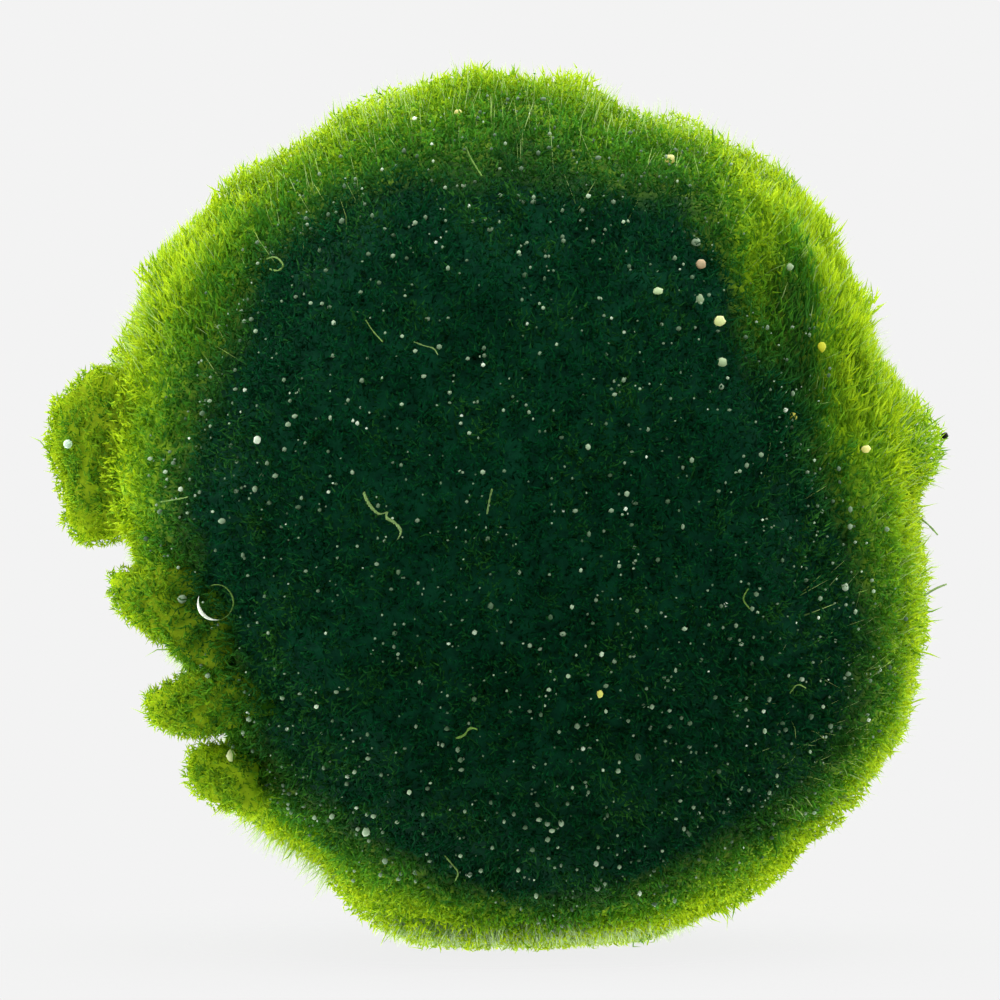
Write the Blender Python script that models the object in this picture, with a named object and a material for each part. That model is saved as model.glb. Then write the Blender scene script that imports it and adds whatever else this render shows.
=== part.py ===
"""A marimo moss ball: one clump of felted green algae with a tufted pile all over, torn open low on
its left side, resting on a small flat spot. Metres, +Z up, front towards -Y. The origin is under
the middle of the ball, on the surface that it rests on."""

import math
import random
from typing import NamedTuple

import bmesh
import bpy
from mathutils import Vector, noise

MM = 0.001

BALL_RADIUS = 21.45 * MM  # out to the felt between the tufts, where nothing swells or is torn away
CENTRE_HEIGHT = 21.6 * MM  # the weight of the clump presses the rest flat at the bottom
SEED_SUBDIVISIONS = 3  # a sphere of 320 triangles
SEED_CUTS = 4  # each of them divided into 25

SOFT_WAVE = 11.0 * MM  # broad unevenness of a clump that grew freely
SOFT_HEIGHT = 0.7 * MM
PILE_WAVE = 3.2 * MM  # the pile gathers in small clumps
PILE_HEIGHT = 0.75 * MM

TUFT_SEED = 3
TUFT_HEIGHT = (0.3, 0.75)  # a tuft's height, as a share of the distance to its neighbours
TUFT_DRIFT = 0.45  # how far a tuft leans up, as a share of its height
FOOT_CLEARANCE = 0.9 * MM  # no tuft stands this close to the flat spot
TEAR_SHOULDER = 0.35  # the bare rim along a narrow tear, as a share of the tear's half size

PILE_GREEN = (0.10, 0.26, 0.02, 1.0)
PILE_ROUGHNESS = 0.9


class Form(NamedTuple):
    """A swelling, a hollow or a tear: where it lies, and its size in millimetres.

    angle runs round the front outline in degrees, counter-clockwise from +X. turn is how far the
    form is turned from that outline towards the front. height is out of the ball, and along and
    across are half sizes, along the outline and from front to back.
    """

    angle: float
    turn: float
    height: float
    along: float
    across: float


SWELLINGS = {
    "top_tuft": Form(79.5, 0, 1.2, 1.7, 6.0),
    "crown": Form(98, -6, 0.3, 3.0, 8.0),
    "left_flap": Form(175, 0, 1.3, 3.6, 9.0),
    "torn_tongue": Form(209.8, 0, 2.2, 1.2, 8.0),
    "low_left_corner": Form(250.5, 0, 0.5, 1.6, 8.0),
    "foot_pad": Form(273, -1, 1.7, 6.2, 8.5),
    "heavy_side": Form(312, 0, 1.3, 9.5, 13.0),
    "low_right": Form(331, 2, 0.9, 6.0, 9.0),
    "right_tip": Form(8.5, 0, 1.2, 1.9, 6.0),
    "front_cheek": Form(28, 30, 1.0, 8.0, 2.6),
    "front_low": Form(240, 55, 0.8, 7.0, 5.5),
    "front_brow": Form(120, 50, 0.7, 6.0, 6.0),
    "back_high": Form(70, -50, 1.0, 6.5, 5.5),
    "back_left": Form(185, -55, 0.9, 6.0, 6.0),
    "back_low": Form(300, -52, 0.8, 7.0, 5.0),
}

HOLLOWS = {
    "right_hollow": Form(21, 0, -1.1, 3.6, 9.0),
    "right_waist": Form(358, 0, -0.9, 2.2, 10.0),
    "upper_left": Form(154, 0, -0.5, 6.0, 12.0),
    "top_notch": Form(72, 0, -0.9, 2.0, 9.0),
    "right_fold": Form(20, 42, -1.3, 8.0, 1.7),
    "front_dip": Form(160, 42, -0.8, 5.0, 3.0),
    "back_dip": Form(130, -45, -0.9, 5.0, 6.0),
    "back_fold": Form(20, -50, -0.9, 7.0, 2.4),
}

TEARS = {
    "under_left_flap": Form(188.4, 0, -2.3, 1.0, 12.5),
    "torn_side": Form(203.4, 0, -3.7, 3.3, 13.0),
    "split": Form(216.6, 1, -3.4, 0.65, 11.5),
    "low_left_loss": Form(239, 0, -1.8, 4.0, 12.0),
}
NARROW_TEARS = ("under_left_flap", "split")
FINE_TEARS = (*NARROW_TEARS, "torn_side")


def axes_at(form):
    """Unit vectors at a form: out of the ball, along the front outline, and across it."""
    angle, turn = math.radians(form.angle), math.radians(form.turn)
    out = Vector((
        math.cos(angle) * math.cos(turn),
        -math.sin(turn),
        math.sin(angle) * math.cos(turn),
    ))
    along = Vector((-math.sin(angle), 0, math.cos(angle)))
    return out, along, out.cross(along)


def reach(form, direction):
    """How far from the form's middle a direction lies, in its half sizes: 1 is its edge."""
    out, along, across = axes_at(form)
    outward = direction.dot(out)
    if outward <= 0:
        return math.inf
    u = BALL_RADIUS * math.atan2(direction.dot(along), outward) / (form.along * MM)
    v = BALL_RADIUS * math.atan2(direction.dot(across), outward) / (form.across * MM)
    return math.hypot(u, v)


def radius_at(direction):
    """The felt's radius in a direction. Swellings and hollows are soft, tears have steep sides."""
    radius = BALL_RADIUS
    for form in (*SWELLINGS.values(), *HOLLOWS.values()):
        radius += form.height * MM * math.exp(-reach(form, direction) ** 2)
    for form in TEARS.values():
        radius += form.height * MM * math.exp(-reach(form, direction) ** 4)
    place = direction * BALL_RADIUS
    radius += SOFT_HEIGHT * noise.noise(place / SOFT_WAVE)
    return radius + PILE_HEIGHT * noise.noise(place / PILE_WAVE)


def within(names, margin=0.0):
    """A test of whether a direction lies in one of these tears, or this far past its edge."""
    return lambda direction: any(reach(TEARS[name], direction) < 1 + margin for name in names)


def refine(bm, wanted):
    """Halve the edges of the faces whose direction is wanted."""
    faces = [face for face in bm.faces if wanted(face.calc_center_median().normalized())]
    edges = {edge for face in faces for edge in face.edges}
    bmesh.ops.subdivide_edges(bm, edges=list(edges), cuts=1, use_grid_fill=True)
    bmesh.ops.triangulate(bm, faces=bm.faces[:])


def raise_tufts(bm):
    """Draw the pile up into pointed tufts, no two side by side, leaning up as the pile floats."""
    dice = random.Random(TUFT_SEED)
    split = within(NARROW_TEARS, TEAR_SHOULDER)
    spots = [vert for vert in bm.verts if not split(vert.co.normalized())]
    dice.shuffle(spots)
    beside = set()
    for vert in spots:
        if vert in beside or vert.co.z < FOOT_CLEARANCE - CENTRE_HEIGHT:
            continue
        beside.update(edge.other_vert(vert) for edge in vert.link_edges)
        gap = sum(edge.calc_length() for edge in vert.link_edges) / len(vert.link_edges)
        height = gap * dice.uniform(*TUFT_HEIGHT)
        vert.co += height * (vert.co.normalized() + TUFT_DRIFT * Vector((0, 0, 1)))


def moss_ball():
    """The clump as one closed solid, pressed flat where it rests."""
    bm = bmesh.new()
    bmesh.ops.create_icosphere(bm, subdivisions=SEED_SUBDIVISIONS, radius=BALL_RADIUS)
    bmesh.ops.subdivide_edges(bm, edges=bm.edges[:], cuts=SEED_CUTS, use_grid_fill=True)
    bmesh.ops.triangulate(bm, faces=bm.faces[:])
    refine(bm, within(FINE_TEARS))
    refine(bm, within(("split",), TEAR_SHOULDER))
    for vert in bm.verts:
        direction = vert.co.normalized()
        vert.co = direction * radius_at(direction)
    raise_tufts(bm)
    for vert in bm.verts:
        vert.co.z = max(vert.co.z, -CENTRE_HEIGHT)
    bmesh.ops.recalc_face_normals(bm, faces=bm.faces[:])

    low = Vector([min(vert.co[axis] for vert in bm.verts) for axis in range(3)])
    high = Vector([max(vert.co[axis] for vert in bm.verts) for axis in range(3)])
    middle = (low + high) / 2
    bmesh.ops.translate(bm, verts=bm.verts[:], vec=Vector((-middle.x, -middle.y, CENTRE_HEIGHT)))

    mesh = bpy.data.meshes.new("moss_ball")
    bm.to_mesh(mesh)
    bm.free()
    return mesh


def algae_material():
    """Matt deep yellow-green of living algae pile."""
    material = bpy.data.materials.new("algae_pile")
    material.use_nodes = True
    shader = material.node_tree.nodes["Principled BSDF"]
    shader.inputs["Base Color"].default_value = PILE_GREEN
    shader.inputs["Roughness"].default_value = PILE_ROUGHNESS
    shader.inputs["Metallic"].default_value = 0.0
    return material


for old in list(bpy.data.objects):
    bpy.data.objects.remove(old)

ball_mesh = moss_ball()
ball_mesh.materials.append(algae_material())
ball = bpy.data.objects.new("moss_ball", ball_mesh)
bpy.context.scene.collection.objects.link(ball)
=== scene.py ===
import math

import bmesh
import bpy
import numpy as np
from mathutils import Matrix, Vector, kdtree, noise
from mathutils.bvhtree import BVHTree


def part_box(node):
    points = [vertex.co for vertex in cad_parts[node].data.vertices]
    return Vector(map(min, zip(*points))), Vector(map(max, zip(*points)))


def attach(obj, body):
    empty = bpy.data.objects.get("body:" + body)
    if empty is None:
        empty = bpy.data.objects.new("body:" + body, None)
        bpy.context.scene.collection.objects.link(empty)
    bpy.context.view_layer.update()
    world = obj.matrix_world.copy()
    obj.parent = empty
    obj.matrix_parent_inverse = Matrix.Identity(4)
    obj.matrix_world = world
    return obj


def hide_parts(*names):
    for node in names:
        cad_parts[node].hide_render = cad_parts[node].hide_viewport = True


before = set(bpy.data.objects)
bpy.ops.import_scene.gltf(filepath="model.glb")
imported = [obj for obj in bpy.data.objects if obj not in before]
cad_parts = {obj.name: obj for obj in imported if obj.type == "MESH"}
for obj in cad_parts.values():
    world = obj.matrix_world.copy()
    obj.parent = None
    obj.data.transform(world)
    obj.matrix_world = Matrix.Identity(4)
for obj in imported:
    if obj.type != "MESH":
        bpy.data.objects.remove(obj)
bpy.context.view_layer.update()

# Felted clump. The body of a marimo is a mat of tangled algae filaments, so dense that no light
# gets through. It fills the ball to within the depth of its pile, and every strand is rooted in it.
# On the left, where the mat is torn, it stands back and leaves room for the torn lobes.
MM = 0.001
FELT_FINENESS = 7  # icosphere levels: a point every 0.4 mm
TUFT_REACH = 3  # rings of points over which the felt keeps to the lowest, below the solid's tufts
FELT_SMOOTHING = 8
TORN_SMOOTHING = 3
SOLID_SMOOTHING = 2
HOLLOW_SMOOTHING = 160  # rounds that level the felt out, so that hollows and tears can be told
HOLLOW_DEPTHS = (0.25 * MM, 0.9 * MM)  # below what is round it: where a hollow begins and is deep
LONG_PILE = 1.25 * MM  # pile under the tufts on the upper half, where it floats
SHORT_PILE = 0.7 * MM  # and on the lower half, where it is short and pressed
TORN_PILE = 0.35 * MM  # and inside tears and hollows
UPPER_TURN = 0.35  # the pile grows longer from this far below the middle to as far above it, in radii
SHORTEST_PILE = 0.25 * MM
TALLEST_PILE = 2.1 * MM
TALLEST_TORN_PILE = 0.8 * MM
FOOT_CLEARANCE = 0.75 * MM  # below this the clump stands on the pale fringe alone
# Where the mat is torn away: degrees round the front outline from +X, and how far out it still
# reaches there, in millimetres.
TORN_ANGLES = (160, 164, 171, 175, 179, 187, 197, 206, 215, 221, 227, 236)
TORN_REACHES = (22.0, 21.2, 19.4, 18.7, 18.1, 17.3, 17.1, 16.9, 15.9, 15.7, 18.2, 20.4)
WHOLE_REACH = 30  # past the rim, so that nothing is torn away

low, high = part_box("moss_ball")
ball_middle = np.array((low + high) / 2)


def unit(vectors):
    """The same vectors with a length of 1."""
    return vectors / np.linalg.norm(vectors, axis=-1, keepdims=True)


def rise(values, start, end):
    """0 below start, 1 above end, and a smooth step between."""
    share = np.clip((values - start) / (end - start), 0, 1)
    return share * share * (3 - 2 * share)


def icosphere(fineness):
    """Directions of an even triangle net on a sphere, its triangles and its edges."""
    bm = bmesh.new()
    bmesh.ops.create_icosphere(bm, subdivisions=fineness, radius=1)
    directions = unit(np.array([vert.co[:] for vert in bm.verts]))
    triangles = np.array([[vert.index for vert in face.verts] for face in bm.faces])
    edges = np.array([[vert.index for vert in edge.verts] for edge in bm.edges])
    bm.free()
    return directions, triangles, edges


def point_facings(points, triangles):
    """Which way the surface faces at each point."""
    corners = points[triangles]
    crossed = np.cross(corners[:, 1] - corners[:, 0], corners[:, 2] - corners[:, 0])
    summed = [np.bincount(triangles.ravel(), np.repeat(part, 3), len(points)) for part in crossed.T]
    return unit(np.stack(summed, axis=1))


def colour(hex_code):
    """An sRGB colour such as #2f6b1a as linear red, green, blue and alpha."""
    parts = [int(hex_code[i : i + 2], 16) / 255 for i in (1, 3, 5)]
    return (*(v / 12.92 if v <= 0.04045 else ((v + 0.055) / 1.055) ** 2.4 for v in parts), 1.0)


def add_node(tree, kind, settings=None, **links):
    """A node of this kind, with its settings, and its sockets set or linked by name or number."""
    made = tree.nodes.new(kind)
    for key, value in (settings or {}).items():
        setattr(made, key, value)
    for key, value in links.items():
        numbered = key[1:].isdigit()
        socket = made.inputs[int(key[1:]) if numbered else key.replace("_", " ")]
        if isinstance(value, bpy.types.NodeSocket):
            tree.links.new(value, socket)
        else:
            socket.default_value = value
    return made


def new_material(name):
    """A material with an empty node tree, and that tree."""
    material = bpy.data.materials.new(name)
    material.use_nodes = True
    material.node_tree.nodes.clear()
    return material, material.node_tree


def object_from(name, points, faces, material):
    """A mesh object of these points and faces in the scene, shaded smooth."""
    mesh = bpy.data.meshes.new(name)
    mesh.from_pydata(points, [], faces)
    mesh.shade_smooth()
    mesh.materials.append(material)
    made = bpy.data.objects.new(name, mesh)
    bpy.context.scene.collection.objects.link(made)
    return made


def keep_values(piece, **values):
    """Keep a number for each point of the piece's mesh, for its material to read."""
    for label, numbers in values.items():
        made = piece.data.attributes.new(label, "FLOAT", "POINT")
        made.data.foreach_set("value", numbers.astype(np.float32))


def declare(piece):
    """The piece stands for the clump's solid, which it hides, and moves with it."""
    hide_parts("moss_ball")
    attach(piece, "root")


def solid_reach(directions):
    """How far the solid reaches from its middle in each direction."""
    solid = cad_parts["moss_ball"].data
    tree = BVHTree.FromPolygons(
        [vert.co for vert in solid.vertices], [tuple(face.vertices) for face in solid.polygons]
    )
    start = Vector(ball_middle)
    return np.array([tree.ray_cast(start, Vector(direction))[3] for direction in directions])


def felted_clump():
    """The felt's directions, points and triangles, and the depth of pile at each point."""
    directions, triangles, edges = icosphere(FELT_FINENESS)
    solid = solid_reach(directions)
    lowest = solid.copy()
    for _ in range(TUFT_REACH):
        near = lowest.copy()
        np.minimum.at(near, edges[:, 0], lowest[edges[:, 1]])
        np.minimum.at(near, edges[:, 1], lowest[edges[:, 0]])
        lowest = near
    count = np.bincount(edges.ravel())

    def smoothed(values, rounds):
        for _ in range(rounds):
            total = np.bincount(edges[:, 0], values[edges[:, 1]], len(values))
            total += np.bincount(edges[:, 1], values[edges[:, 0]], len(values))
            values = (values + total / count) / 2
        return values

    even = smoothed(lowest, FELT_SMOOTHING)
    around = smoothed(even, HOLLOW_SMOOTHING)
    hollow = rise(around - even, *HOLLOW_DEPTHS)
    upper = rise(directions[:, 2], -UPPER_TURN, UPPER_TURN)
    pile = SHORT_PILE + (LONG_PILE - SHORT_PILE) * upper
    pile += (TORN_PILE - pile) * hollow
    felt = even - pile

    angle = np.degrees(np.arctan2(directions[:, 2], directions[:, 0])) % 360
    torn = np.interp(angle, TORN_ANGLES, TORN_REACHES, left=WHOLE_REACH, right=WHOLE_REACH) * MM
    torn /= np.hypot(directions[:, 0], directions[:, 2])
    felt = smoothed(np.minimum(felt, torn), TORN_SMOOTHING)
    tallest = np.where(torn < solid, TALLEST_TORN_PILE, TALLEST_PILE)
    depth = np.clip(smoothed(solid, SOLID_SMOOTHING) - felt, SHORTEST_PILE, tallest)
    points = ball_middle + directions * felt[:, None]
    points[:, 2] = np.maximum(points[:, 2], FOOT_CLEARANCE)
    return directions, points, triangles, depth


# Painted light and shade. The clump is not one green all over, and that is painted light: its front is
# painted deep bluish green, painted shade where the back light does not reach, and it turns to
# yellow-green towards the rim, painted rim light, over a wide band at the top and left and a narrow one at
# the bottom.
# The back is painted a middling green, toned down against the strong back light. A random mottle lies on
# top.
SHADED_CORE_MIDDLE = (0.95, 22.05)  # seen from the front, in millimetres
TURN_ANGLES = tuple(range(0, 360, 15))  # degrees round that middle, from +X
TURN_STARTS = (  # how far from the middle the painted shade begins to turn to painted rim light, in millimetres
    15.7, 14.0, 12.4, 14.0, 15.0, 15.3, 15.1, 15.4, 16.2, 15.6, 14.8, 14.9, 15.4, 14.6, 15.0, 16.3,
    16.8, 17.9, 19.2, 19.4, 18.2, 19.0, 18.7, 17.4,
)
TURN_MIDDLES = (  # and how far it is half turned
    17.4, 16.7, 16.3, 16.3, 18.6, 17.8, 18.9, 18.0, 17.7, 17.9, 17.0, 17.4, 17.2, 16.9, 17.5, 18.8,
    18.7, 19.0, 20.2, 20.6, 20.6, 21.0, 20.4, 18.8,
)
TURN_ENDS = (  # and how far it is all painted rim light
    19.4, 19.0, 18.8, 19.4, 20.1, 20.1, 20.1, 20.1, 20.2, 19.9, 19.4, 19.3, 18.9, 19.0, 19.2, 19.8,
    19.6, 20.2, 20.8, 21.0, 21.2, 21.4, 21.2, 20.2,
)
EARLY_TURN = 1.5  # millimetres before its start that the turn first shows
LATE_TURN = 0.8  # and before its middle that it quickens
PATCHES = {  # middle and half size, seen from the front, and how much painted light each adds; below 0, painted shade
    "right_lobe": ((17.2, 28.6), (2.8, 9.0), 0.55),
    "streak": ((12.2, 34.0), (1.2, 4.6), 0.45),
    "right_fold": ((14.5, 30.0), (1.0, 4.8), -0.4),
    "curled_cluster": ((14.2, 36.4), (1.0, 0.6), -0.3),
    "upper_front": ((0.5, 37.4), (8.0, 2.2), 0.14),
    "low_left": ((-12.0, 12.0), (3.5, 5.0), 0.14),
    "left_cheek": ((-14.5, 28.0), (3.0, 6.0), 0.12),
    "right_knot": ((20.4, 23.8), (1.2, 1.7), -0.35),
    "torn_ridge": ((-18.0, 21.0), (1.2, 5.0), 0.3),
}
# At the back the tone becomes an even middling green: painted shade against the strong back light.
BACK_TONE = 0.55
BACK_TURN = (-2.0, 18.0)  # millimetres behind the middle over which that tone takes over
MOTTLE = 2.2 * MM  # patches of new growth this far apart
MOTTLE_CHANGE = 0.16


def painted_light_share(points):
    """How bright and yellow each point is painted: 0 in the painted shade of the front core, 1 in the
    painted rim light, with a random mottle.
    """
    x, y, z = (points / MM).T
    x_out, z_out = x - SHADED_CORE_MIDDLE[0], z - SHADED_CORE_MIDDLE[1]
    out = np.hypot(x_out, z_out)
    angle = np.degrees(np.arctan2(z_out, x_out))
    start = np.interp(angle, TURN_ANGLES, TURN_STARTS, period=360)
    middle = np.interp(angle, TURN_ANGLES, TURN_MIDDLES, period=360)
    end = np.interp(angle, TURN_ANGLES, TURN_ENDS, period=360)
    share = 0.5 * rise(out, start - EARLY_TURN, middle) + 0.5 * rise(out, middle - LATE_TURN, end)
    for (middle_x, middle_z), (half_x, half_z), change in PATCHES.values():
        share += change * np.exp(-(((x - middle_x) / half_x) ** 2) - ((z - middle_z) / half_z) ** 2)
    share = share + (BACK_TONE - share) * rise(y, *BACK_TURN)
    share += MOTTLE_CHANGE * np.array([noise.noise(Vector(point)) for point in points / MOTTLE])
    return np.clip(share, 0, 1)


def felt_material():
    """Felted algae: matt and wet, mottled where filaments bunch. By its tone it runs from deep bluish
    green, painted shade, to yellow-green, painted rim light."""
    material, tree = new_material("felted_algae")
    place = add_node(tree, "ShaderNodeTexCoord").outputs["Object"]
    bunches = add_node(tree, "ShaderNodeTexNoise", Vector=place, Scale=1 / (0.5 * MM), Detail=4.0)
    painted_light_tone = add_node(tree, "ShaderNodeAttribute", {"attribute_name": "tone"}).outputs["Fac"]
    ramps = []
    for dark, light in (("#04281a", "#073822"), ("#2c6414", "#94b414")):
        ramp = add_node(tree, "ShaderNodeValToRGB", Fac=bunches.outputs["Fac"])
        ramp.color_ramp.elements[0].color = colour(dark)
        ramp.color_ramp.elements[0].position = 0.35
        ramp.color_ramp.elements[1].color = colour(light)
        ramp.color_ramp.elements[1].position = 0.65
        ramps.append(ramp.outputs["Color"])
    # Deep bluish green in the painted shade, yellow-green in the painted rim light.
    turned = add_node(tree, "ShaderNodeMapRange", Value=painted_light_tone, From_Min=0.2, From_Max=1.0)
    mixed = add_node(
        tree, "ShaderNodeMix", {"data_type": "RGBA"},
        _0=turned.outputs["Result"], _6=ramps[0], _7=ramps[1],
    )
    bump = add_node(
        tree, "ShaderNodeBump", Height=bunches.outputs["Fac"], Strength=0.8, Distance=0.2 * MM
    )
    shader = add_node(
        tree, "ShaderNodeBsdfPrincipled",
        Base_Color=mixed.outputs[2], Normal=bump.outputs["Normal"], Roughness=0.9,
        Specular_IOR_Level=0.05,
    )
    add_node(tree, "ShaderNodeOutputMaterial", Surface=shader.outputs["BSDF"])
    return material


felt_directions, felt_points, felt_triangles, felt_pile = felted_clump()
felt = object_from("felted_clump", felt_points, felt_triangles, felt_material())
# The felt's tone is the painted light and shade share.
keep_values(felt, tone=painted_light_share(felt_points))
declare(felt)

# Torn lobes. Low on the left the mat is torn in flaps a few millimetres thick, thin enough for
# light to come through. They are still part of the clump, and stand in the gap where it is torn.
LOBES = {  # middle, half thickness, how much it turns back as it reaches out, outline from the front
    "left_flap": ((-19.0, -5.0, 24.2), 2.6, -0.6, (
        (-20.1, 28.9), (-20.9, 27.8), (-22.1, 25.9), (-22.3, 24.5), (-21.7, 23.2), (-21.2, 21.9),
        (-21.1, 20.5), (-20.3, 19.7), (-19.5, 20.1), (-18.2, 20.1), (-16.4, 21.5), (-16.6, 25.4),
        (-18.2, 28.5),
    )),
    "middle_lobe": ((-15.7, -11.6, 16.8), 2.0, -0.8, (
        (-17.8, 18.9), (-18.7, 18.6), (-18.7, 17.8), (-18.0, 16.9), (-17.2, 16.2), (-15.5, 15.0),
        (-14.5, 14.2), (-12.5, 14.0), (-12.1, 17.8), (-14.7, 19.7), (-16.7, 19.1),
    )),
    "torn_tongue": ((-13.4, -12.2, 12.5), 1.6, -0.8, (
        (-14.4, 14.3), (-15.4, 13.6), (-16.5, 13.1), (-17.2, 12.7), (-16.8, 11.4), (-15.8, 10.8),
        (-14.9, 10.6), (-13.8, 10.8), (-11.4, 11.6), (-9.4, 12.0), (-9.4, 14.1), (-12.0, 14.8),
    )),
    "low_lobe": ((-12.4, -10.8, 8.7), 1.4, -0.8, (
        (-13.7, 10.4), (-15.0, 10.2), (-15.3, 9.2), (-15.1, 8.3), (-14.3, 7.5), (-13.0, 7.0),
        (-11.6, 6.6), (-11.0, 8.4), (-11.3, 10.2),
    )),
}
LOBE_FINENESS = 5
LOBE_MIDDLE_TONE = 0.7  # the highest tone at a lobe's middle; towards its thin edge the tone is painted up to full, painted light where more light comes through
LOBE_PILE = 0.4 * MM
LOBE_LUMPS = ((2.2 * MM, 0.5 * MM), (0.7 * MM, 0.2 * MM))  # how far apart, and how high
LOBE_EDGE = (0.55, 0.97)  # where its thin edge begins and ends, as shares of its outline


def lobe_surface(middle, half_thickness, lean, outline):
    """A ragged lens with this outline seen from the front: its points, triangles, depths of pile,
    and how near each point is to the thin edge."""
    directions, triangles, _ = icosphere(LOBE_FINENESS)
    spokes = np.array(outline) - (middle[0], middle[2])
    angles = np.arctan2(spokes[:, 1], spokes[:, 0])
    order = np.argsort(angles)
    lengths = np.hypot(spokes[:, 0], spokes[:, 1])
    angle = np.arctan2(directions[:, 2], directions[:, 0])
    length = np.interp(angle, angles[order], lengths[order], period=math.tau) - LOBE_PILE / MM
    points = directions * np.stack([length, np.full(len(length), half_thickness), length], axis=1)
    points[:, 1] += lean * points[:, 0]
    points = (points + middle) * MM
    for wave, height in LOBE_LUMPS:
        lumps = np.array([noise.noise(Vector(point) / wave) for point in points])
        points += point_facings(points, triangles) * (lumps * height)[:, None]
    edge = rise(np.hypot(directions[:, 0], directions[:, 2]), *LOBE_EDGE)
    return points, triangles, np.full(len(points), LOBE_PILE), edge


def torn_felt_material():
    """Felt torn thin: wet mat a few millimetres thick, which light comes through in yellow-green, with
    darker knots of filaments.
    Its colour is painted brighter towards its thin edge and in the painted rim light, painted light on top
    of the light that comes through."""
    material, tree = new_material("thin_torn_felt")
    place = add_node(tree, "ShaderNodeTexCoord").outputs["Object"]
    knots = add_node(tree, "ShaderNodeTexNoise", Vector=place, Scale=1 / (0.7 * MM), Detail=4.0)
    painted_edge_light = add_node(tree, "ShaderNodeAttribute", {"attribute_name": "tone"}).outputs["Fac"]
    spread = add_node(
        tree, "ShaderNodeMapRange", Value=knots.outputs["Fac"], From_Min=0.3, From_Max=0.7,
        To_Min=-0.25, To_Max=0.25,
    )
    share = add_node(
        tree, "ShaderNodeMath", {"operation": "ADD"}, _0=painted_edge_light, _1=spread.outputs["Result"]
    )
    ramp = add_node(tree, "ShaderNodeValToRGB", Fac=share.outputs["Value"])
    ramp.color_ramp.elements[0].color = colour("#44801c")
    ramp.color_ramp.elements[0].position = 0.05
    ramp.color_ramp.elements[1].color = colour("#c8dc30")
    ramp.color_ramp.elements[1].position = 0.9
    body = add_node(tree, "ShaderNodeBsdfDiffuse", Color=ramp.outputs["Color"])
    glow = add_node(tree, "ShaderNodeBsdfTranslucent", Color=ramp.outputs["Color"])
    mixed = add_node(
        tree, "ShaderNodeMixShader", _0=0.75, _1=body.outputs["BSDF"], _2=glow.outputs["BSDF"]
    )
    add_node(tree, "ShaderNodeOutputMaterial", Surface=mixed.outputs["Shader"])
    return material


torn_felt = torn_felt_material()
lobe_surfaces = []
for name, form in LOBES.items():
    points, triangles, pile, edge = lobe_surface(*form)
    # Painted light: the lobe's tone is the painted light share, raised to full towards its thin edge.
    painted_light_tone = np.minimum(painted_light_share(points), LOBE_MIDDLE_TONE + (1 - LOBE_MIDDLE_TONE) * edge)
    lobe_surfaces.append((points, triangles, pile, painted_light_tone))
    lobe = object_from(name, points, triangles, torn_felt)
    keep_values(lobe, tone=painted_light_tone)
    declare(lobe)

# Pile. Each strand is a filament, or a few lying together, a tenth of a millimetre thick, growing
# out of the felt. Most show only their short curled ends, which make a velvet. Round the rim they
# float up, and in a few places they lie combed in one direction.
STRAND_COUNT = 228000
LOBE_STRANDS = 38  # on each square millimetre of each layer of a torn lobe
BIT_LENGTHS = (0.2 * MM, 0.45 * MM)  # what shows of a strand between its neighbours
COMBED_STRETCH = 0.8  # how much longer it shows where the pile is combed
LONG_SHARE = 0.006  # strands that have a bend and stand out of the pile
LONG_LENGTHS = (0.8 * MM, 1.5 * MM)
LONG_FORK = 0.5  # how far up the pile they part from it
LONG_BEND = 0.12  # how far their middle is off the straight, in millimetres
LONG_TAPER = (0.8, 0.7)
FORK_TOP = 0.82  # and the highest that any other does
STRANDS_PER_TUFT = 40
TUFT_REACHES = (0.7, 1.0)  # how far up the pile a tuft's tip is
TUFT_CLING = 0.5  # how much its strands are drawn to that tip
TUFT_SCATTER, TRUNK_SCATTER, BIT_SCATTER = 0.3, 0.25, 0.95  # how far each turns its own way
COMBED_BIND = 0.72  # how much less it does where the pile is combed
LEAST_SLANT = 0.6  # a leaning strand is the longer for it, up to this cosine of its lean
LOW_LIFT, HIGH_LIFT, COMBED_LIFT = 0.1, 0.5, 0.9  # how far all pile floats up, and how much more
LOWEST_STRAND = 0.08 * MM  # above the floor
STRAND_UNEVENNESS = (0.7, 1.25)
STRAND_RADIUS = 0.062 * MM
LOBE_STRAND_RADIUS = 0.05 * MM
LOBE_LAYERS = (0.86, 1.0)  # shells that they are rooted in, as shares of the lobe's size
TONE_SPREAD = 0.1
TUFT_TONE_SPREAD = 0.08
PALETTE_MARGIN = 0.02
PALETTE_STEP = 0.002
CROWN_HEIGHT = 0.6  # above this share of its height the pile is the crown, and below it the underside
COMBED = {  # middle and half size, seen from the front, in millimetres
    "right_lobe": ((16.8, 30.6), (4.2, 8.6)),
    "upper_left": ((-16.4, 34.0), (4.4, 5.5)),
    "crown": ((0.0, 43.2), (10.0, 1.8)),
}
dice = np.random.default_rng(20)


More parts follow.
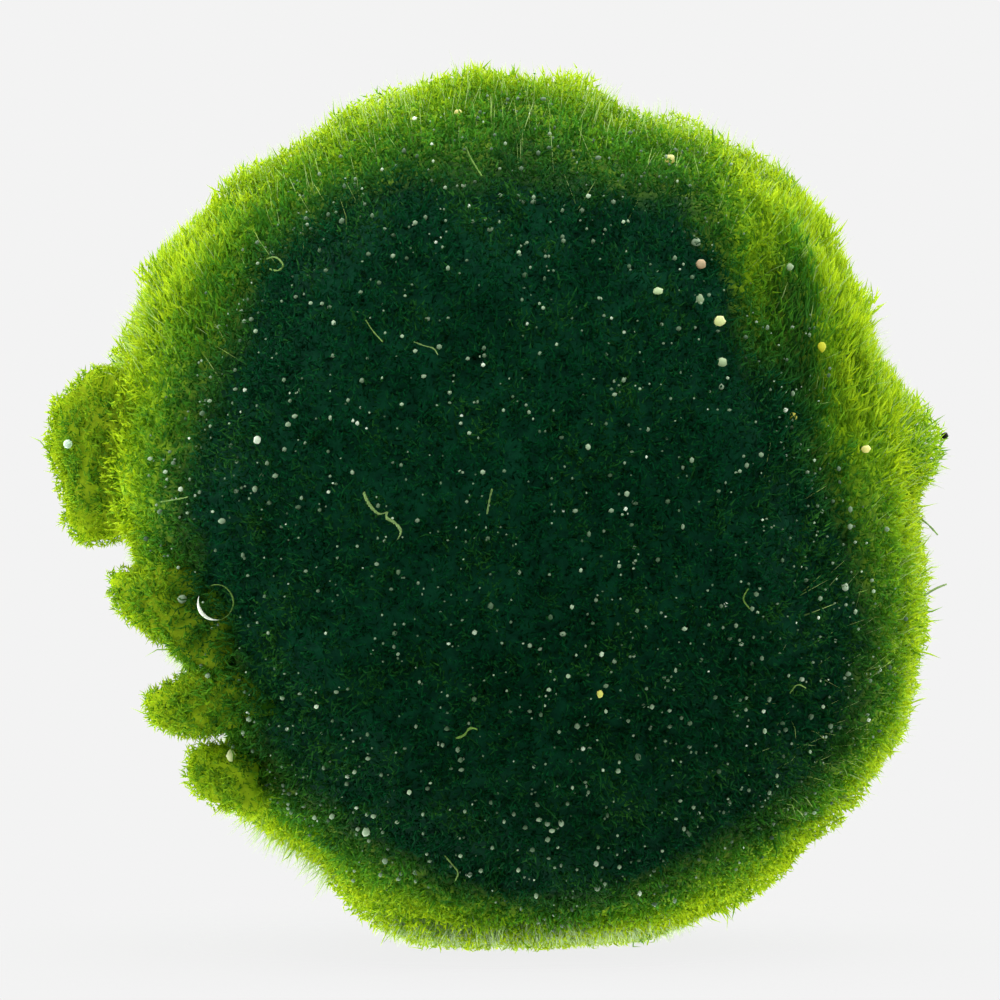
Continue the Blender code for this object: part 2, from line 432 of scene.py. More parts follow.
def tubes(paths, radii, heights, tones):
    """Three-sided tapering tubes, one along each path, open where rooted and pointed at the tip."""
    count, steps, _ = paths.shape
    along = unit(paths[:, -1] - paths[:, 0])
    side = unit(np.cross(along, dice.normal(size=(count, 3))))
    other = np.cross(along, side)
    turn = np.arange(3) * math.tau / 3
    ring = side[:, None] * np.cos(turn)[:, None] + other[:, None] * np.sin(turn)[:, None]
    rings = paths[:, :-1, None] + radii[:, :, None, None] * ring[:, None]
    points = np.concatenate([rings.reshape(count, -1, 3), paths[:, -1:]], axis=1)
    each = points.shape[1]
    faces = []
    for first in range(0, each - 4, 3):
        for a, b in ((0, 1), (1, 2), (2, 0)):
            faces.append((first + a, first + b, first + 3 + b))
            faces.append((first + a, first + 3 + b, first + 3 + a))
    faces += [(each - 4 + a, each - 4 + b, each - 1) for a, b in ((0, 1), (1, 2), (2, 0))]
    faces = np.array(faces)[None] + each * np.arange(count)[:, None, None]
    share = np.append(np.repeat(np.arange(steps - 1), 3), steps - 1) / (steps - 1)
    height = heights[:, :1] + (heights[:, 1:] - heights[:, :1]) * share
    across = np.append(np.tile((-1, 0, 1), steps - 1), 0)
    return (
        points.reshape(-1, 3),
        faces.reshape(-1, 3),
        height.ravel(),
        np.repeat(tones, each),
        np.tile(across, count),
    )


def strand_object(name, batches, material):
    """One mesh of several batches of tubes, with each point's height and tone for its colour."""
    start = 0
    shifted = []
    for points, faces, *_ in batches:
        shifted.append(faces + start)
        start += len(points)
    points, _, height, tone, across = (np.concatenate(part) for part in zip(*batches))
    faces = np.concatenate(shifted)
    made = object_from(name, points, faces, material)
    keep_values(made, height=height, tone=tone)
    room = 1 - 2 * PALETTE_MARGIN
    u = PALETTE_MARGIN + room * tone + PALETTE_STEP * across
    v = PALETTE_MARGIN + room * height
    corners = np.stack([u, v], axis=1)[faces.ravel()]
    palette = made.data.uv_layers.new(name="OFBake")
    palette.data.foreach_set("uv", corners.astype(np.float32).ravel())
    return made


def filament_material(name, body_roots, body_tips, glow_roots, glow_tips, glow_share):
    """Living algae filament: a wet, clear cell wall filled with green. It reflects little, in deep green,
    and lets yellow-green light through, so that lit from behind it glows. The colours at its root and at
    its tip are given by tone, from the painted shade of the front core through a middling tone to the
    painted rim light, and the root is darker, painted shade deep in the pile."""
    material, tree = new_material(name)
    height = add_node(tree, "ShaderNodeAttribute", {"attribute_name": "height"}).outputs["Fac"]
    tone = add_node(tree, "ShaderNodeAttribute", {"attribute_name": "tone"}).outputs["Fac"]

    def by_tone(codes):
        ramp = add_node(tree, "ShaderNodeValToRGB", Fac=tone)
        ramp.color_ramp.elements.new(0.5)
        for stop, code in zip(ramp.color_ramp.elements, codes):
            stop.color = colour(code)
        return ramp.outputs["Color"]

    def blend(roots, tips):
        mixed = add_node(
            tree, "ShaderNodeMix", {"data_type": "RGBA"},
            _0=height, _6=by_tone(roots), _7=by_tone(tips),
        )
        return mixed.outputs[2]

    body = add_node(
        tree, "ShaderNodeBsdfPrincipled",
        Base_Color=blend(body_roots, body_tips), Roughness=0.6, Specular_IOR_Level=0.03,
    )
    glow = add_node(tree, "ShaderNodeBsdfTranslucent", Color=blend(glow_roots, glow_tips))
    mixed = add_node(
        tree, "ShaderNodeMixShader", _0=glow_share, _1=body.outputs["BSDF"], _2=glow.outputs["BSDF"]
    )
    add_node(tree, "ShaderNodeOutputMaterial", Surface=mixed.outputs["Shader"])
    return material


def triangle_areas(points, triangles):
    """The area of each triangle."""
    corners = points[triangles]
    sides = corners[:, 1] - corners[:, 0], corners[:, 2] - corners[:, 0]
    return np.linalg.norm(np.cross(*sides), axis=1) / 2


def scattered(surface, count, weight=None):
    """Roots scattered over a surface: their points, facings and depths of pile."""
    points, triangles, pile = surface
    chance = triangle_areas(points, triangles)
    if weight is not None:
        chance = chance * weight[triangles].mean(axis=1)
    picked = dice.choice(len(triangles), count, p=chance / chance.sum())
    share = dice.dirichlet((1, 1, 1), count)

    def at(values):
        return np.einsum("nk,nk...->n...", share, values[triangles[picked]])

    return at(points), unit(at(point_facings(points, triangles))), at(pile)


def combed_share(points):
    """How far the pile is combed at each point: 0 for curled every way, 1 for straight up."""
    x, _, z = (points / MM).T
    share = np.zeros(len(points))
    for (middle_x, middle_z), (half_x, half_z) in COMBED.values():
        here = np.exp(-(((x - middle_x) / half_x) ** 4) - ((z - middle_z) / half_z) ** 4)
        share = np.maximum(share, here)
    return share


def floating(place, facing, combed):
    """Which way the pile floats at each root: out of the felt, and up round the rim and crown."""
    up = np.zeros_like(facing)
    up[:, 2] = 1
    up -= facing * facing[:, 2:]
    height = (place[:, 2] - ball_middle[2]) / ball_middle[2]
    share = LOW_LIFT + HIGH_LIFT * rise(height, -0.5, 0.5) + COMBED_LIFT * combed
    return facing + up * share[:, None]


def grown(surface, count, tone_at, weight=None):
    """Strands grown on a surface: where each shows from and to, how deep that is in the pile, its
    tone, and which are long ones."""
    tuft_count = int(count / STRANDS_PER_TUFT)
    tuft_root, tuft_facing, tuft_pile = scattered(surface, tuft_count, weight)
    tuft_way = floating(tuft_root, tuft_facing, combed_share(tuft_root))
    tuft_way = unit(tuft_way + dice.normal(size=(tuft_count, 3)) * TUFT_SCATTER)
    reach = tuft_pile * dice.uniform(*TUFT_REACHES, tuft_count)
    reach /= np.maximum(np.einsum("nk,nk->n", tuft_way, tuft_facing), LEAST_SLANT)
    tuft_tip = tuft_root + tuft_way * reach[:, None]
    tuft_tone = dice.normal(0, TUFT_TONE_SPREAD, tuft_count)
    tree = kdtree.KDTree(tuft_count)
    for index, place in enumerate(tuft_root):
        tree.insert(place, index)
    tree.balance()

    root, facing, pile = scattered(surface, count, weight)
    tuft = np.array([tree.find(place)[1] for place in root])
    combed = combed_share(root)
    trunk = unit(floating(root, facing, combed) + dice.normal(size=(count, 3)) * TRUNK_SCATTER)
    whole = pile / np.maximum(np.einsum("nk,nk->n", trunk, facing), LEAST_SLANT)
    tip = root + trunk * whole[:, None]
    tip += (tuft_tip[tuft] - tip) * (TUFT_CLING * dice.uniform(0.2, 1.0, count))[:, None]
    fork = dice.random(count) ** 0.8 * FORK_TOP
    long = dice.random(count) < LONG_SHARE
    fork = np.where(long, LONG_FORK, fork)
    start = root + (tip - root) * fork[:, None]
    bend = (1.0 - COMBED_BIND * combed) * np.where(long, 0.5, 1.0)
    way = unit(unit(tip - root) + dice.normal(size=(count, 3)) * BIT_SCATTER * bend[:, None])
    length = dice.uniform(*BIT_LENGTHS, count) * (1 + COMBED_STRETCH * combed)
    length = np.where(long, dice.uniform(*LONG_LENGTHS, count), length)
    end = start + way * length[:, None]
    rise_end = np.einsum("nk,nk->n", end - root, facing) / pile
    tone = tone_at(root)
    tone += (tuft_tone[tuft] + dice.normal(0, TONE_SPREAD, count)) * (0.35 + 0.65 * tone)
    heights = np.clip(np.stack([fork, rise_end], axis=1), 0, 1)
    return start, end, heights, np.clip(tone, 0, 1), long


def strands(grow, chosen, radius=STRAND_RADIUS):
    """Batches of tubes for the chosen strands of those grown: first the straight ones, and then the
    long ones, which have a bend."""
    start, end, height, tone, long = grow
    batches = []
    for bent in (False, True):
        some = np.flatnonzero(chosen & (long == bent))
        thick = radius * dice.uniform(*STRAND_UNEVENNESS, len(some))
        if bent:
            middle = (start[some] + end[some]) / 2
            middle += dice.normal(size=(len(some), 3)) * LONG_BEND * MM
            paths = np.stack([start[some], middle, end[some]], axis=1)
            radii = np.stack([thick * share for share in LONG_TAPER], axis=1)
        else:
            paths = np.stack([start[some], end[some]], axis=1)
            radii = thick[:, None]
        paths[:, :, 2] = np.maximum(paths[:, :, 2], LOWEST_STRAND)
        batches.append(tubes(paths, radii, height[some], tone[some]))
    return batches


# By tone the colours run from the painted shade of the front core to the painted rim light. Each is darker
# at the root, painted shade deep in the pile.
pile_finish = filament_material(
    "algae_filament",
    ("#042c1c", "#24601c", "#5c941c"),
    ("#0c5a30", "#58942e", "#acca2c"),
    ("#04281a", "#387c14", "#84b010"),
    ("#0c582c", "#76ac24", "#d4dc20"),
    0.7,
)
density = 0.78 + 0.22 * rise(-felt_directions[:, 1], -0.6, 0.1)  # a little thinner at the back
grow = grown((felt_points, felt_triangles, felt_pile), STRAND_COUNT, painted_light_share, density)
outward = unit(grow[0] - ball_middle)
crown = outward[:, 2] > CROWN_HEIGHT
underside = outward[:, 2] < -CROWN_HEIGHT
quarter = np.floor(((np.degrees(np.arctan2(outward[:, 1], outward[:, 0])) + 45) % 360) / 90)
regions = {"crown": crown, "underside": underside}
for number, label in enumerate(("right", "back", "left", "front")):
    regions[label] = ~crown & ~underside & (quarter == number)
for label, inside in regions.items():
    piece = strand_object(f"pile_{label}", strands(grow, inside), pile_finish)
    declare(piece)

lobe_batches = []
for points, triangles, pile, painted_light_tone in lobe_surfaces:
    middle = points.mean(axis=0)
    tree = kdtree.KDTree(len(points))
    for index, place in enumerate(points):
        tree.insert(place, index)
    tree.balance()
    for layer in LOBE_LAYERS:
        surface = (middle + (points - middle) * layer, triangles, pile)
        count = int(LOBE_STRANDS * triangle_areas(surface[0], triangles).sum() / MM**2)
        grow = grown(surface, count, lambda root: painted_light_tone[[tree.find(place)[1] for place in root]])
        lobe_batches += strands(grow, np.ones(count, dtype=bool), LOBE_STRAND_RADIUS)
declare(strand_object("pile_torn_lobes", lobe_batches, pile_finish))

# Pale fringe. Where the clump rests, its pile is painted pale, a painted reflection of the bright floor
# under the foot. It is thin and soft, and spreads out from under the foot.
FRINGE_COUNT = 7000
FRINGE_RADIUS = 0.035 * MM
FRINGE_LENGTHS = (0.6 * MM, 1.4 * MM)
FRINGE_HEIGHTS = (0.06 * MM, 0.5 * MM)  # its ends lie no lower than this
FRINGE_FULL, FRINGE_TOP = 1.0 * MM, 2.2 * MM  # it is full up to here, and gone above
FOOT_MIDDLE = 1.5 * MM  # to the right of the ball's middle
FOOT_EDGE = (2.5 * MM, 5 * MM)  # from its middle, where the fringe begins and is full
FRINGE_SCATTER = 0.35
FRINGE_BENT_SHARE = 0.25
# Pale filament. On the fringe its paleness is a painted reflection of the floor.
pale_filament_finish = filament_material(
    "pale_filament",
    ("#7c9850", "#8ca070", "#98ac80"),
    ("#b8cc80", "#c8d4a8", "#dce4c8"),
    ("#88a850", "#a0b880", "#b4c898"),
    ("#c8dc88", "#d8e4b8", "#f0f4e0"),
    0.7,
)
facings = point_facings(felt_points, felt_triangles)
near_foot = rise(-felt_points[:, 2], -FRINGE_TOP, -FRINGE_FULL) * rise(-facings[:, 2], 0.1, 0.5)
near_foot *= rise(np.hypot(felt_points[:, 0] - FOOT_MIDDLE, felt_points[:, 1]), *FOOT_EDGE)
root, facing, _ = scattered((felt_points, felt_triangles, felt_pile), FRINGE_COUNT, near_foot)
outward = facing.copy()
outward[:, 2] = -1.0
way = unit(outward + dice.normal(size=(FRINGE_COUNT, 3)) * FRINGE_SCATTER)
end = root + way * dice.uniform(*FRINGE_LENGTHS, FRINGE_COUNT)[:, None]
end[:, 2] = np.maximum(end[:, 2], dice.uniform(*FRINGE_HEIGHTS, FRINGE_COUNT))
long = dice.random(FRINGE_COUNT) < FRINGE_BENT_SHARE
tone = dice.random(FRINGE_COUNT)
grow = (root, end, np.tile((0.0, 1.0), (FRINGE_COUNT, 1)), tone, long)
fringe = strands(grow, np.ones(FRINGE_COUNT, dtype=bool), FRINGE_RADIUS)
declare(strand_object("pale_fringe_painted_reflection", fringe, pale_filament_finish))

# Frayed edges. Along the tears the felt has come apart in loose wisps, coloured pale, and from the crown
# to the right side such wisps stand up as a pale fuzz.
FRAYS = {  # angles round the front outline, degrees to front and back, count, lengths, upward lean
    "low_left": (222, 249, 9, 560, (0.3 * MM, 1.3 * MM), -0.25),
    "above_tongue": (203, 208, 9, 110, (0.4 * MM, 0.9 * MM), -0.25),
    "under_flap": (184, 192, 9, 130, (0.3 * MM, 0.8 * MM), -0.25),
    "rim_fuzz": (-50, 165, 22, 4200, (0.0 * MM, 0.65 * MM), 0.6),
}
FRAY_FADE = 3  # degrees over which a frayed stretch begins and ends
FRAY_SCATTER = 0.3
FRAY_BENT_SHARE = 0.3
FRAY_TONE = 0.3  # the palest of them
LOWEST_FRAY = 0.1 * MM
fray_batches = []
felt_angle = np.degrees(np.arctan2(felt_directions[:, 2], felt_directions[:, 0]))
felt_turn = np.degrees(np.arcsin(np.clip(felt_directions[:, 1], -1, 1)))
for start_angle, end_angle, spread, count, lengths, lean in FRAYS.values():
    past = (felt_angle - start_angle) % 360
    here = rise(past, 0, FRAY_FADE) * rise(end_angle - start_angle - past, 0, FRAY_FADE)
    here = here * np.exp(-((felt_turn / spread) ** 2))
    root, facing, pile = scattered((felt_points, felt_triangles, felt_pile), count, here)
    way = unit(facing + (0.0, 0.0, lean) + dice.normal(size=(count, 3)) * FRAY_SCATTER)
    end = root + way * (pile + dice.uniform(*lengths, count))[:, None]
    end[:, 2] = np.maximum(end[:, 2], LOWEST_FRAY)
    long = dice.random(count) < FRAY_BENT_SHARE
    grow = (root, end, np.tile((0.0, 1.0), (count, 1)), dice.random(count) * FRAY_TONE, long)
    fray_batches += strands(grow, np.ones(count, dtype=bool), FRINGE_RADIUS)
declare(strand_object("frayed_wisps", fray_batches, pale_filament_finish))

# Silt and sand. Fine pale grains from the water have settled all through the pile, and a few
# larger ones, white, yellow, tan and dark, sit on it. Each larger one is named by its place in the
# photo's 1000 pixel frame, and lies where the line of sight through that place meets the pile.
PIXEL = 0.05 * MM  # at the ball's middle
CAMERA_LENS, CAMERA_SENSOR = 200, 36
CAMERA_DISTANCE = 1000 * PIXEL * CAMERA_LENS / CAMERA_SENSOR
AIM_PIXEL = (500, 501)
AXIS_PIXEL, GROUND_PIXEL = 495, 944  # the ball's middle, and the surface that it rests on
SILT_COUNT = 3000
SILT_RADII = (0.05 * MM, 0.15 * MM)
SILT_DEPTH = (0.55, 0.95)  # as a share of the pile's depth
SILT_TURN = (0.2, 0.6)  # how deep in the painted shade of the core silt begins to lie in the pile, and where it is full
SILT_TONE = 0.16  # the darkest of it
GRAIN_DEPTH = 0.75
GRAIN_SQUEEZE = (0.7, 1.1)
GRAIN_ROUGHNESS = (0.85, 1.12)
LEAST_FACING = 0.4  # pile seen at a slant lifts a thing the further, up to this cosine
RIM_DEPTH = 1.0 * MM  # how far before the middle plane a thing lies that is seen past the felt
GRAINS = (  # place in the frame, radius in millimetres, and tone
    ((257, 441), 0.24, 0.02), ((222, 522), 0.18, 0.1), ((255, 490), 0.16, 0.1), ((182, 600), 0.24, 0.07),
    ((366, 833), 0.26, 0.05), ((231, 757), 0.30, 0.3), ((385, 862), 0.18, 0.1), ((597, 889), 0.18, 0.1),
    ((561, 824), 0.19, 0.07), ((638, 758), 0.16, 0.14), ((618, 772), 0.16, 0.08), ((845, 588), 0.20, 0.04),
    ((563, 635), 0.15, 0.1), ((720, 322), 0.28, 0.32), ((722, 363), 0.26, 0.22), ((822, 348), 0.27, 0.6),
    ((700, 300), 0.24, 0.2), ((658, 292), 0.22, 0.24), ((701, 265), 0.25, 0.78), ((670, 160), 0.25, 0.4),
    ((793, 418), 0.24, 0.55), ((458, 113), 0.2, 0.42), ((600, 695), 0.20, 0.5), ((866, 450), 0.24, 0.4),
    ((790, 268), 0.22, 0.2), ((718, 142), 0.24, 0.02), ((696, 243), 0.20, 0.07), ((588, 448), 0.16, 0.05),
    ((945, 437), 0.22, 1.0),
)


def sight_line(pixel):
    """The camera's place, and the direction from it through a place in the frame."""
    camera_place = np.array([
        (AIM_PIXEL[0] - AXIS_PIXEL) * PIXEL, -CAMERA_DISTANCE, (GROUND_PIXEL - AIM_PIXEL[1]) * PIXEL
    ])
    through = np.array([(pixel[0] - AXIS_PIXEL) * PIXEL, 0.0, (GROUND_PIXEL - pixel[1]) * PIXEL])
    return camera_place, unit(through - camera_place)


def on_pile(pixel, share=1.0):
    """Where the line of sight through a place in the frame meets the pile, on the felt or on a torn
    lobe, this far up in it. One that passes just outside them ends near the ball's middle plane."""
    start, way = sight_line(pixel)
    spot, facing, index, _ = mat_tree.ray_cast(Vector(start), Vector(way))
    if spot is None:
        return start + way * (CAMERA_DISTANCE - RIM_DEPTH)
    pile = mat_pile[mat_triangles[index]].mean()
    return np.array(spot) - way * pile * share / max(LEAST_FACING, -facing.dot(Vector(way)))


def grain_batch(places, sizes, fineness, tones):
    """Rounded grains of these sizes, each squeezed its own way."""
    directions, triangles, _ = icosphere(fineness)
    squeeze = dice.uniform(*GRAIN_SQUEEZE, (len(places), 1, 3))
    rough = dice.uniform(*GRAIN_ROUGHNESS, (len(places), len(directions), 1))
    points = places[:, None] + directions * squeeze * rough * sizes[:, None, None]
    faces = triangles + len(directions) * np.arange(len(places))[:, None, None]
    points = points.reshape(-1, 3)
    none = np.zeros(len(points))
    return points, faces.reshape(-1, 3), none, np.repeat(tones, len(directions)), none


def grain_material():
    """Wet quartz silt and sand: white to pale green, a few grains stained yellow and tan."""
    material, tree = new_material("quartz_silt")
    tone = add_node(tree, "ShaderNodeAttribute", {"attribute_name": "tone"}).outputs["Fac"]
    ramp = add_node(tree, "ShaderNodeValToRGB", Fac=tone)
    ramp.color_ramp.elements[0].color = colour("#f4f6ec")
    ramp.color_ramp.elements[1].color = colour("#1c1a10")
    for position, code in (
        (0.05, "#b4c4a8"), (0.16, "#567052"), (0.24, "#d0dcb4"), (0.4, "#e8e09c"), (0.6, "#d4d040"),
        (0.78, "#ccb494"),
    ):
        ramp.color_ramp.elements.new(position).color = colour(code)
    body = add_node(
        tree, "ShaderNodeBsdfPrincipled",
        Base_Color=ramp.outputs["Color"], Roughness=0.7, Specular_IOR_Level=0.2,
    )
    glow = add_node(tree, "ShaderNodeBsdfTranslucent", Color=ramp.outputs["Color"])
    mixed = add_node(
        tree, "ShaderNodeMixShader", _0=0.5, _1=body.outputs["BSDF"], _2=glow.outputs["BSDF"]
    )
    add_node(tree, "ShaderNodeOutputMaterial", Surface=mixed.outputs["Shader"])
    return material


mats = [(felt_points, felt_triangles, felt_pile), *(surface[:3] for surface in lobe_surfaces)]
firsts = np.cumsum([0, *(len(points) for points, _, _ in mats[:-1])])
mat_points = np.concatenate([points for points, _, _ in mats])
mat_triangles = np.concatenate([mat[1] + first for mat, first in zip(mats, firsts)])
mat_pile = np.concatenate([pile for _, _, pile in mats])
mat_tree = BVHTree.FromPolygons(mat_points.tolist(), mat_triangles.tolist())
grain_finish = grain_material()
dice = np.random.default_rng(31)
settled = rise(1 - painted_light_share(felt_points), *SILT_TURN)
root, facing, pile = scattered((felt_points, felt_triangles, felt_pile), SILT_COUNT, settled)
silt = root + facing * (pile * dice.uniform(*SILT_DEPTH, SILT_COUNT))[:, None]
silt[:, 2] = np.maximum(silt[:, 2], SILT_RADII[1] * 1.5)
sizes = SILT_RADII[0] + (SILT_RADII[1] - SILT_RADII[0]) * dice.random(SILT_COUNT) ** 2
batches = [grain_batch(silt, sizes, 1, SILT_TONE * dice.random(SILT_COUNT) ** 0.5)]
places = np.array([on_pile(pixel, GRAIN_DEPTH) for pixel, _, _ in GRAINS])
sizes = np.array([size for _, size, _ in GRAINS]) * MM
batches.append(grain_batch(places, sizes, 2, np.array([tone for _, _, tone in GRAINS])))
declare(strand_object("silt_and_sand", batches, grain_finish))

# Shed threads. Dead filaments have come loose, and lie curled on the pile or stick out of its rim.
# Each is a short route through places in the photo's frame.
THREADS = {  # half thickness in millimetres, and the route
    "long_curl": (0.1, (
        (364, 493), (367, 501), (373, 510), (380, 516), (388, 512), (386, 519), (392, 521), (399, 527),
        (402, 533), (398, 540),
    )),
    "upper_left_curl": (0.06, ((267, 260), (276, 257), (285, 266), (278, 273), (270, 270))),
    "upper_thread": (0.05, ((466, 148), (471, 160), (482, 177))),
    "middle_thread": (0.06, ((492, 490), (489, 502), (487, 515))),
    "low_thread": (0.05, ((445, 857), (452, 865), (459, 873), (455, 882))),
    "lower_curl": (0.07, ((456, 739), (465, 736), (469, 728), (477, 730))),
    "straight_thread": (0.04, ((160, 503), (174, 501), (188, 498))),
    "right_thread": (0.05, ((748, 590), (742, 600), (750, 610))),
    "low_right_curl": (0.05, ((790, 694), (797, 684), (806, 689))),
    "faint_hook": (0.035, ((414, 343), (424, 347), (434, 349), (438, 356))),
    "faint_bend": (0.035, ((366, 321), (372, 331), (383, 343))),
    "ring": (0.05, (
        (208, 588), (216, 585), (225, 587), (232, 595), (234, 604), (231, 613), (224, 620), (215, 622),
    )),
}
RIM_THREADS = {
    "right_spike": ((922, 520), (931, 528), (938, 536)),
    "right_sprig": ((920, 600), (934, 590), (947, 585)),
    "low_strand": ((338, 850), (342, 868), (348, 882), (353, 897)),
    "low_corner": ((362, 898), (352, 903), (344, 906)),
}
RIM_THREAD_RADIUS = 0.06 * MM
RIM_THREAD_TONE = 0.6
THREAD_TONES = (0.0, 0.4)
THREAD_UNEVENNESS = (0.55, 1.2)
thread_finish = filament_material(
    "shed_filament",
    ("#5c7c34", "#789054", "#94a878"),
    ("#7c9c4c", "#a0b480", "#c4d0b0"),
    ("#5c7c34", "#789054", "#94a878"),
    ("#88a850", "#acc080", "#d0dcb8"),
    0.5,
)


def rounded(points, rounds=3):
    """The route with its corners cut, so that it runs smoothly."""
    for _ in range(rounds):
        first, second = points[:-1], points[1:]
        cut = np.stack([first * 0.75 + second * 0.25, first * 0.25 + second * 0.75], axis=1)
        points = np.concatenate([points[:1], cut.reshape(-1, 3), points[-1:]])
    return points


def thread_batch(route, tone, radius):
    """A thread along this route, thin at its end."""
    path = rounded(route)[None]
    thick = radius * dice.uniform(*THREAD_UNEVENNESS, (1, path.shape[1] - 1))
    return tubes(path, thick, np.array([[0.3, 1.0]]), np.array([tone]))


def in_middle(pixel):
    """The place in the ball's middle plane that shows at this place in the frame."""
    start, way = sight_line(pixel)
    return start - way * start[1] / way[1]


batches = []
for radius, pixels in THREADS.values():
    route = np.array([on_pile(pixel) for pixel in pixels])
    batches.append(thread_batch(route, dice.uniform(*THREAD_TONES), radius * MM))
for pixels in RIM_THREADS.values():
    route = np.array([in_middle(pixel) for pixel in pixels])
    batches.append(thread_batch(route, RIM_THREAD_TONE, RIM_THREAD_RADIUS))
declare(strand_object("shed_threads", batches, thread_finish))

# Gas bubble. The algae gives off oxygen, and one bubble has stayed caught on the torn flap. Its film is
# clear and glossy,
# and its silvery white is painted: a white base colour under the light that does not pass through, a
# painted reflection.
BUBBLE_PIXEL = (68, 445)
BUBBLE_HEIGHT = 1.2  # as a share of the pile's depth
BUBBLE_RADIUS = 0.22 * MM
clear_gas, tree = new_material("gas_in_clear_film")
film = add_node(
    tree, "ShaderNodeBsdfPrincipled",
    # The white base colour, where light does not pass through, is a painted reflection.
    Base_Color=colour("#f4fff4"), Roughness=0.08, IOR=1.2, Transmission_Weight=0.6,
)
add_node(tree, "ShaderNodeOutputMaterial", Surface=film.outputs["BSDF"])
directions, triangles, _ = icosphere(4)
bubble_place = on_pile(BUBBLE_PIXEL, BUBBLE_HEIGHT)
bubble = object_from("gas_bubble", bubble_place + directions * BUBBLE_RADIUS, triangles, clear_gas)
declare(bubble)

# Painted highlight. A thin curved crescent low on the left, in the palest grain colour, paints the bright
# crescent of light on the edge of a small round thing there. It is thickest in its middle and comes to a
# point at both ends.
GLINT_PIXEL = (216, 603)
GLINT_HEIGHT = 1.1  # as a share of the pile's depth
GLINT_LIFT = 0.3  # and out of it, in radii
GLINT_RADIUS = 0.85 * MM
GLINT_START, GLINT_END = 160, 285  # degrees, counter-clockwise from +X
GLINT_THICKNESS = 0.1 * MM
GLINT_POINT = 0.15  # how blunt its ends are, in radians of its swell
GLINT_STEPS = 16
turn = np.radians(np.linspace(GLINT_START, GLINT_END, GLINT_STEPS))
_, way = sight_line(GLINT_PIXEL)
arc = np.stack([np.cos(turn), np.zeros(GLINT_STEPS), np.sin(turn)], axis=1) * GLINT_RADIUS
path = (on_pile(GLINT_PIXEL, GLINT_HEIGHT) - way * GLINT_RADIUS * GLINT_LIFT + arc)[None]
swell = np.sin(np.linspace(GLINT_POINT, math.pi - GLINT_POINT, GLINT_STEPS - 1))
thick = GLINT_THICKNESS * swell[None]
painted_glint = tubes(path, thick, np.array([[1.0, 1.0]]), np.array([0.0]))
# A painted highlight: the crescent stands for light caught on an edge, in the palest grain colour.
declare(strand_object("painted_highlight_crescent", [painted_glint], grain_finish))

# Floor. Plain, pale and lit softly from below as well, like a sheet of milky acrylic, so that the
# clump leaves only a faint shadow. It fades out before its edge shows.
FLOOR_SIZE = 0.2
FLOOR_FADE = (0.012, 0.035)  # from the middle, where it begins to fade and has gone
floor_mesh = bmesh.new()
bmesh.ops.create_grid(floor_mesh, x_segments=1, y_segments=1, size=FLOOR_SIZE)
mesh = bpy.data.meshes.new("floor")
floor_mesh.to_mesh(mesh)
floor_mesh.free()
floor = bpy.data.objects.new("floor", mesh)
bpy.context.scene.collection.objects.link(floor)
floor_finish, tree = new_material("milky_acrylic")
place = add_node(tree, "ShaderNodeTexCoord").outputs["Object"]
from_foot = add_node(tree, "ShaderNodeVectorMath", {"operation": "LENGTH"}, _0=place)
fade = add_node(
    tree, "ShaderNodeMapRange", {"interpolation_type": "SMOOTHSTEP"},
    Value=from_foot.outputs["Value"], From_Min=FLOOR_FADE[0], From_Max=FLOOR_FADE[1],
)
pale = add_node(tree, "ShaderNodeBsdfDiffuse", Color=(0.02, 0.02, 0.02, 1.0))
lit_below = add_node(tree, "ShaderNodeEmission", Color=colour("#f3f3f3"), Strength=0.93)
sheet = add_node(
    tree, "ShaderNodeAddShader", _0=pale.outputs["BSDF"], _1=lit_below.outputs["Emission"]
)
clear = add_node(tree, "ShaderNodeBsdfTransparent")
ray = add_node(tree, "ShaderNodeLightPath").outputs["Is Camera Ray"]
shown = add_node(
    tree, "ShaderNodeMapRange", Value=fade.outputs["Result"], To_Min=ray, To_Max=0.0
)
faded = add_node(
    tree, "ShaderNodeMixShader",
    _0=shown.outputs["Result"], _1=clear.outputs["BSDF"], _2=sheet.outputs["Shader"],
)
add_node(tree, "ShaderNodeOutputMaterial", Surface=faded.outputs["Shader"])
mesh.materials.append(floor_finish)

# Light. Plain studio light: a wide soft ring round the back, which shines through the thin rim,
# four soft boxes, and a weak cool fill from everywhere. Behind the ball only a pale backdrop shows.
RING_AXIS = (-0.1, 0.98, -0.16)
RING_LEVELS = ((0.12, 0.0), (0.45, 1.0), (0.7, 1.0), (0.92, 0.35))  # cosine off the axis, and level
RING_MIDDLE_LEVEL = 0.35
RING_STRENGTH = 6.2
FILL_STRENGTH = 0.8
SOFT_BOXES = (  # where each stands, the cosines at which its edge begins and ends, its strength
    ((0.62, 0.05, 0.78), 0.75, 0.92, 2.4),
    ((-0.9, -0.1, 0.4), 0.7, 0.9, 2.25),
    ((0.0, -0.5, 0.87), 0.6, 0.9, 1.8),
    ((0.2, -0.85, -0.45), 0.5, 0.95, 0.7),
)
world = bpy.data.worlds.new("studio")
world.use_nodes = True
tree = world.node_tree
tree.nodes.clear()
towards = add_node(tree, "ShaderNodeTexCoord").outputs["Generated"]
axis = add_node(
    tree, "ShaderNodeVectorMath", {"operation": "DOT_PRODUCT"}, _0=towards, _1=RING_AXIS
)
ring = add_node(tree, "ShaderNodeValToRGB", Fac=axis.outputs["Value"])
ring.color_ramp.interpolation = "EASE"
for position, level in RING_LEVELS:
    stop = ring.color_ramp.elements.new(position)
    stop.color = (level, level, level, 1.0)
ring.color_ramp.elements[0].color = (0.0, 0.0, 0.0, 1.0)
ring.color_ramp.elements[-1].color = (*(RING_MIDDLE_LEVEL,) * 3, 1.0)
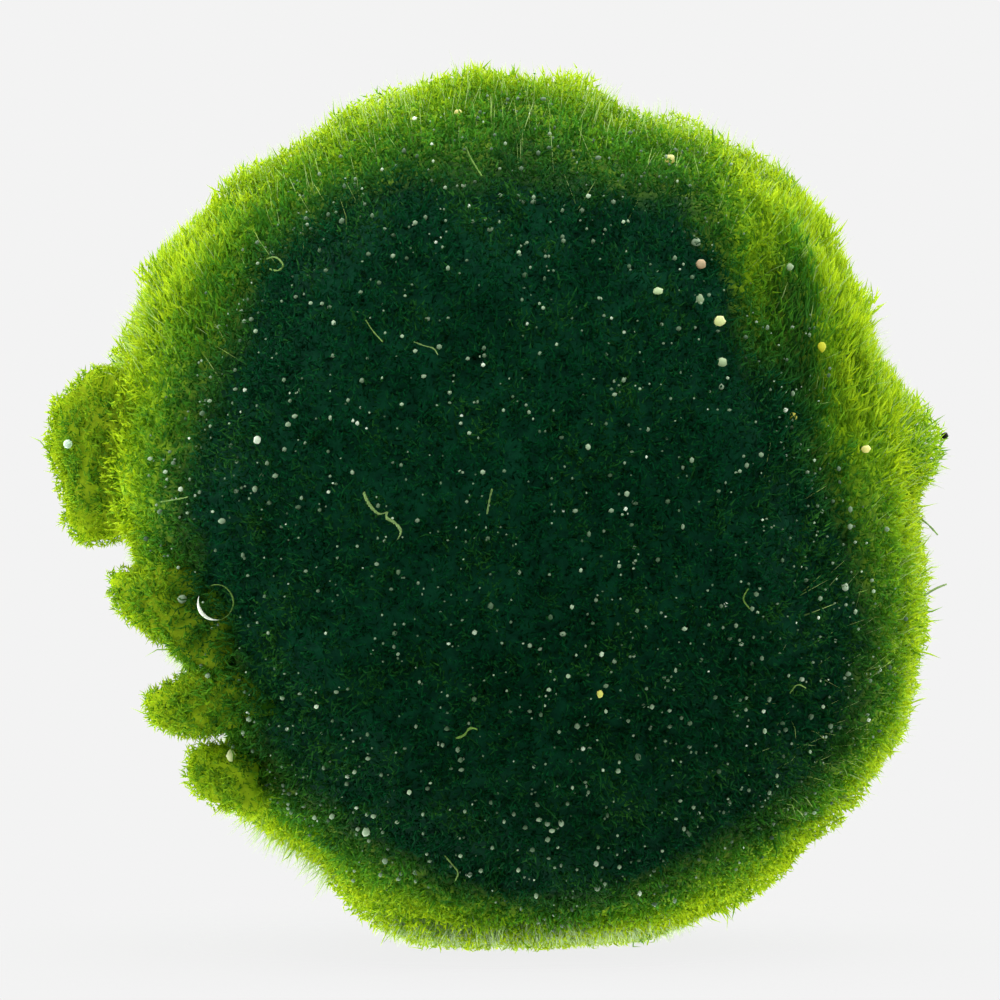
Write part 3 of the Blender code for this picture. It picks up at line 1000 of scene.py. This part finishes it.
fill = add_node(
    tree, "ShaderNodeBackground", Color=colour("#d8f0e4"), Strength=FILL_STRENGTH
)
back = add_node(
    tree, "ShaderNodeBackground", Color=ring.outputs["Color"], Strength=RING_STRENGTH
)
boxes = 0.0
for direction, start, end, strength in SOFT_BOXES:
    towards_box = add_node(
        tree, "ShaderNodeVectorMath", {"operation": "DOT_PRODUCT"}, _0=towards, _1=direction
    )
    box = add_node(
        tree, "ShaderNodeMapRange", {"interpolation_type": "SMOOTHSTEP"},
        Value=towards_box.outputs["Value"], From_Min=start, From_Max=end, To_Max=strength,
    )
    boxes = add_node(
        tree, "ShaderNodeMath", {"operation": "ADD"}, _0=boxes, _1=box.outputs["Result"]
    ).outputs["Value"]
side = add_node(tree, "ShaderNodeBackground", Color=colour("#ffffff"), Strength=boxes)
lit = add_node(
    tree, "ShaderNodeAddShader", _0=fill.outputs["Background"], _1=back.outputs["Background"]
)
lit = add_node(
    tree, "ShaderNodeAddShader", _0=lit.outputs["Shader"], _1=side.outputs["Background"]
)
backdrop = add_node(tree, "ShaderNodeBackground", Color=colour("#f3f3f3"), Strength=1.0)
ray = add_node(tree, "ShaderNodeLightPath").outputs["Is Camera Ray"]
both = add_node(
    tree, "ShaderNodeMixShader", _0=ray, _1=lit.outputs["Shader"], _2=backdrop.outputs["Background"]
)
add_node(tree, "ShaderNodeOutputWorld", Surface=both.outputs["Shader"])
bpy.context.scene.world = world

# Camera. A long lens level with the ball's middle, at the photo's viewing angle. Its distance makes
# a pixel of the frame stand for PIXEL at the ball's middle.
camera_data = bpy.data.cameras.new("camera")
camera_data.lens = CAMERA_LENS
camera_data.sensor_width = CAMERA_SENSOR
camera_data.clip_start = 0.01
camera = bpy.data.objects.new("camera", camera_data)
camera_place, way = sight_line(AIM_PIXEL)
camera.location = camera_place
camera.rotation_euler = Vector(way).to_track_quat("-Z", "Y").to_euler()
bpy.context.scene.collection.objects.link(camera)
bpy.context.scene.camera = camera
bpy.context.scene.view_settings.view_transform = "Standard"
bpy.context.scene.cycles.diffuse_bounces = 10
